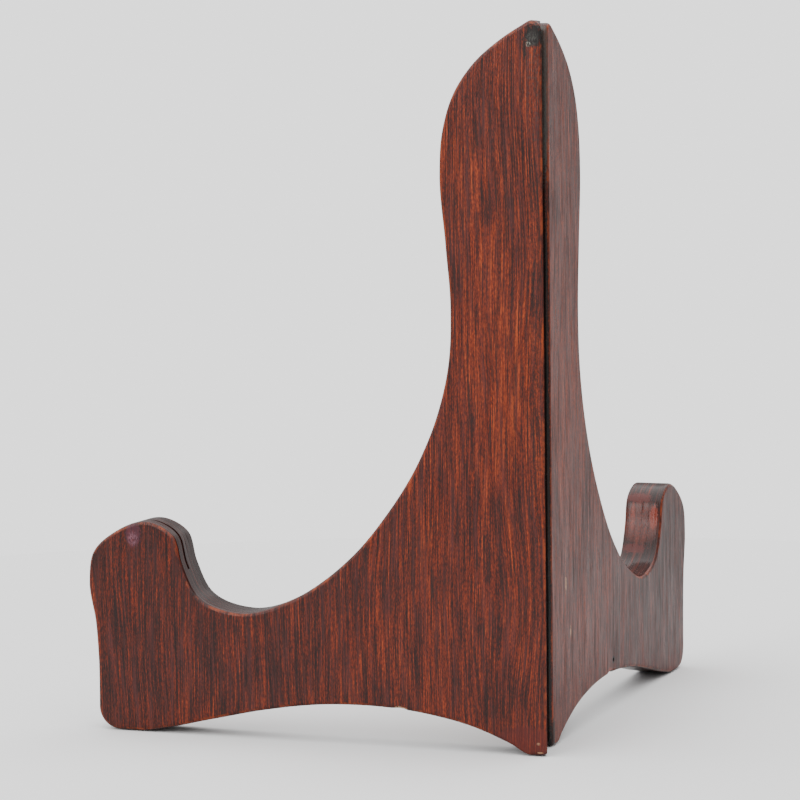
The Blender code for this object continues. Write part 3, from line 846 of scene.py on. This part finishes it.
def wood_screw_tree():
    """Geometry Nodes that set a countersunk, threaded wood screw with a cross recess at each point."""
    tree = bpy.data.node_groups.new("wood screws", "GeometryNodeTree")
    tree.interface.new_socket("Places", in_out="INPUT", socket_type="NodeSocketGeometry")
    for name, size in SCREW_SIZES.items():
        socket = tree.interface.new_socket(name, in_out="INPUT", socket_type="NodeSocketFloat")
        socket.default_value = size
    tree.interface.new_socket("Outward", in_out="INPUT", socket_type="NodeSocketVector")
    tree.interface.new_socket("Seed", in_out="INPUT", socket_type="NodeSocketInt")
    tree.interface.new_socket("Metal", in_out="INPUT", socket_type="NodeSocketMaterial")
    tree.interface.new_socket("Screws", in_out="OUTPUT", socket_type="NodeSocketGeometry")
    given = tree.nodes.new("NodeGroupInput").outputs

    # A slim cylinder, long enough for the screw, is drawn out to the screw's own radius.
    rod = add_node(
        tree, "GeometryNodeMeshCylinder",
        {"Vertices": SCREW_SIDES, "Side Segments": SCREW_RINGS, "Fill Segments": 1, "Radius": 1.0,
         "Depth": given["Length"]},
    ).outputs["Mesh"]
    place = add_node(tree, "GeometryNodeInputPosition").outputs[0]
    x, y, z = add_node(tree, "ShaderNodeSeparateXYZ", {0: place}).outputs
    half = maths(tree, "MULTIPLY", given["Length"], 0.5)
    deep = maths(tree, "SUBTRACT", half, z)
    head = add_node(
        tree, "ShaderNodeMapRange",
        {"Value": deep, "From Min": 0.0, "From Max": given["Head Depth"],
         "To Min": given["Head Radius"], "To Max": given["Shank Radius"]},
    ).outputs["Result"]
    tip_start = maths(tree, "SUBTRACT", given["Length"], given["Tip"])
    taper = add_node(
        tree, "ShaderNodeMapRange",
        {"Value": deep, "From Min": tip_start, "From Max": given["Length"], "To Min": 1.0,
         "To Max": SCREW_POINT},
    ).outputs["Result"]
    turns = maths(tree, "DIVIDE", maths(tree, "ARCTAN2", y, x), 2 * math.pi)
    pitch = maths(tree, "DIVIDE", deep, given["Thread Pitch"])
    thread = maths(tree, "PINGPONG", maths(tree, "ADD", pitch, turns), 0.5)
    groove = maths(tree, "MULTIPLY", maths(tree, "MULTIPLY", thread, 2.0), given["Thread Depth"])
    thread_start = maths(tree, "MULTIPLY", given["Head Depth"], 2.0)
    below_head = maths(tree, "GREATER_THAN", deep, thread_start)
    radius = maths(tree, "SUBTRACT", head, maths(tree, "MULTIPLY", groove, below_head))
    radius = maths(tree, "MULTIPLY", radius, taper)
    sunk = maths(tree, "MULTIPLY", deep, -1.0)
    drawn = add_node(
        tree, "ShaderNodeCombineXYZ",
        {0: maths(tree, "MULTIPLY", x, radius), 1: maths(tree, "MULTIPLY", y, radius), 2: sunk},
    ).outputs[0]
    body = add_node(tree, "GeometryNodeSetPosition", {"Geometry": rod, "Position": drawn}).outputs[0]

    # The cross recess
    arm = maths(tree, "MULTIPLY", given["Recess Arm"], 2.0)
    tall = maths(tree, "MULTIPLY", given["Recess Depth"], 2.0)
    cutters = []
    for sizes in ((arm, given["Recess Width"], tall), (given["Recess Width"], arm, tall)):
        size = add_node(tree, "ShaderNodeCombineXYZ", dict(enumerate(sizes))).outputs[0]
        cutters.append(add_node(tree, "GeometryNodeMeshCube", {"Size": size}).outputs["Mesh"])
    recess = tree.nodes.new("GeometryNodeMeshBoolean")
    recess.operation = "DIFFERENCE"
    tree.links.new(body, recess.inputs["Mesh 1"])
    for cutter in cutters:
        tree.links.new(cutter, recess.inputs["Mesh 2"])

    # Each screw stands square to its leaf, its recess left at whatever angle it was driven to.
    align = add_node(tree, "FunctionNodeAlignRotationToVector", {"Vector": given["Outward"]}, axis="Z")
    angle = add_node(
        tree, "FunctionNodeRandomValue", {2: -RECESS_TURN, 3: RECESS_TURN, "Seed": given["Seed"]},
        data_type="FLOAT",
    ).outputs[1]
    turn = add_node(tree, "ShaderNodeCombineXYZ", {2: angle}).outputs[0]
    driven = add_node(
        tree, "FunctionNodeRotateRotation", {"Rotation": align.outputs[0], "Rotate By": turn},
        rotation_space="LOCAL",
    ).outputs[0]
    set_in = add_node(
        tree, "GeometryNodeInstanceOnPoints",
        {"Points": given["Places"], "Instance": recess.outputs["Mesh"], "Rotation": driven},
    ).outputs[0]
    real = add_node(tree, "GeometryNodeRealizeInstances", {"Geometry": set_in}).outputs[0]
    plated = add_node(
        tree, "GeometryNodeSetMaterial", {"Geometry": real, "Material": given["Metal"]}
    ).outputs[0]
    output = tree.nodes.new("NodeGroupOutput")
    tree.links.new(plated, output.inputs["Screws"])
    return tree


def set_screws(tree, word, metal):
    """The four screws of one side of the stand, as one piece."""
    side = SIDES[word]
    to_stand = board_to_stand(side)
    along = pin_from_back(side) + SCREW_FROM_PIN
    mesh = bpy.data.meshes.new("screw places")
    places = [to_stand @ Vector((along, LEAF_FACE_DEPTH, height)) for height in SCREW_HEIGHTS]
    mesh.from_pydata(places, [], [])
    screws = link_piece(f"{word}_hinge_screws", mesh)
    setting = screws.modifiers.new("wood screws", "NODES")
    setting.node_group = tree
    sockets = {item.name: item.identifier for item in tree.interface.items_tree}
    for name, size in SCREW_SIZES.items():
        setting[sockets[name]] = size
    setting[sockets["Outward"]] = side_normal(side)
    setting[sockets["Seed"]] = SCREW_SEED + side
    setting[sockets["Metal"]] = metal
    applied(screws)
    screws.data.shade_smooth()
    screws.data.set_sharp_from_angle(angle=math.radians(SCREW_SHARP_FROM_DEGREES))
    leaves = [f"{hinge}_hinge_{word}_leaf" for hinge in ("upper", "lower")]
    replaced = [f"{leaf}_{end}_screw" for leaf in leaves for end in ("top", "bottom")]
    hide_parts(*replaced)
    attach(screws, f"{word}_side")


def make_hinges():
    """Tarnished brass leaves and screws, and steel pins."""
    brass, steel = tarnished_brass(), drawn_steel()
    for name, node in frame["nodes"].items():
        if name.endswith("_leaf") or name.endswith("_pin"):
            node.data.materials.clear()
            node.data.materials.append(steel if name.endswith("_pin") else brass)
    tree = wood_screw_tree()
    for word in SIDES:
        set_screws(tree, word, brass)


# ---------------------------------------------------------------- floor, light and camera

# The floor lies a hair below the feet, so that it doesn't cut through them.
FLOOR_RADIUS = 0.42
FLOOR_DROP = 0.2 * MM
FLOOR_WHITE = (0.93, 0.93, 0.93)
FLOOR_BOUNCE = (0.54, 0.54, 0.54)


def make_floor():
    """A matt white floor that throws less light back up at the stand than the eye sees."""
    bm = bmesh.new()
    bmesh.ops.create_circle(bm, cap_ends=True, radius=FLOOR_RADIUS, segments=128)
    mesh = bpy.data.meshes.new("floor")
    bm.to_mesh(mesh)
    bm.free()
    material, tree, shader = new_material("pale floor")
    seen = add_node(tree, "ShaderNodeLightPath").outputs["Is Camera Ray"]
    tree.links.new(blend_colour(tree, seen, FLOOR_BOUNCE, FLOOR_WHITE), shader.inputs["Base Color"])
    shader.inputs["Roughness"].default_value = 1.0
    shader.inputs["Specular IOR Level"].default_value = 0.0
    mesh.materials.append(material)
    floor = link_piece("floor", mesh)
    floor.location.z = -FLOOR_DROP


# The studio: soft walls, one of them darker and one brighter, a bright ceiling, a soft box high on
# the left board's side, and a dark screen that faces the right board. The backdrop is as bright as
# the floor, so no horizon shows.
WALL_GLOW = 0.72
CEILING_GLOW = 2.50
BACKDROP_GLOW = 1.845
SOFT_BOX = {"towards": (0.85, 0.36, 0.38), "glow": 5.0, "inner": 0.985, "outer": 0.955}
SCREEN = {"towards": (-0.83, 0.55, 0.0), "glow": 0.30, "inner": 0.90, "outer": 0.45}
BACK_WALL = {"towards": (-0.41, -0.91, 0.12), "glow": 0.42, "inner": 0.94, "outer": 0.74}
SIDE_WALL = {"towards": (-0.90, -0.44, 0.0), "glow": 0.84, "inner": 0.95, "outer": 0.80}


def light_the_room():
    """A white room: what lights the stand, and an even backdrop behind it."""
    world = bpy.data.worlds.new("white room")
    bpy.context.scene.world = world
    world.use_nodes = True
    tree = world.node_tree
    direction = add_node(tree, "ShaderNodeTexCoord").outputs["Generated"]
    upwards = add_node(tree, "ShaderNodeSeparateXYZ", {0: direction}).outputs["Z"]
    glow = ramp(tree, upwards, 0.05, 0.9, WALL_GLOW, CEILING_GLOW)
    for lamp in (SCREEN, BACK_WALL, SIDE_WALL, SOFT_BOX):
        inputs = {0: direction, 1: tuple(Vector(lamp["towards"]).normalized())}
        towards = add_node(tree, "ShaderNodeVectorMath", inputs, operation="DOT_PRODUCT").outputs["Value"]
        inside = ramp(tree, towards, lamp["outer"], lamp["inner"])
        change = maths(tree, "MULTIPLY", inside, maths(tree, "SUBTRACT", lamp["glow"], glow))
        glow = maths(tree, "ADD", glow, change)
    seen = add_node(tree, "ShaderNodeLightPath").outputs["Is Camera Ray"]
    inputs = {"Factor": seen, "A": glow, "B": BACKDROP_GLOW}
    strength = add_node(tree, "ShaderNodeMix", inputs, data_type="FLOAT").outputs[0]
    tree.links.new(strength, tree.nodes["Background"].inputs["Strength"])
    tree.nodes["Background"].inputs["Color"].default_value = (1.0, 1.0, 1.0, 1.0)


# The camera stands behind the stand, a little to the left board's side, and looks slightly down.
CAMERA_PLACE = (0.3294, 0.6919, 0.1528)
CAMERA_HEADING = math.radians(155.93)
CAMERA_PITCH = math.radians(-4.38)
CAMERA_ROLL = math.radians(-0.706)
CAMERA_LENS = 118.9
CAMERA_SENSOR = 36.0


def make_camera():
    data = bpy.data.cameras.new("camera")
    data.lens = CAMERA_LENS
    data.sensor_width = CAMERA_SENSOR
    camera = bpy.data.objects.new("camera", data)
    bpy.context.scene.collection.objects.link(camera)
    heading = Matrix.Rotation(CAMERA_HEADING, 4, "Z")
    pitch = Matrix.Rotation(math.pi / 2 + CAMERA_PITCH, 4, "X")
    roll = Matrix.Rotation(CAMERA_ROLL, 4, "Z")
    camera.matrix_world = Matrix.Translation(CAMERA_PLACE) @ heading @ pitch @ roll
    bpy.context.scene.camera = camera


make_camera()
for board_word in SIDES:
    make_board(board_word)
make_hinges()
make_floor()
light_the_room()
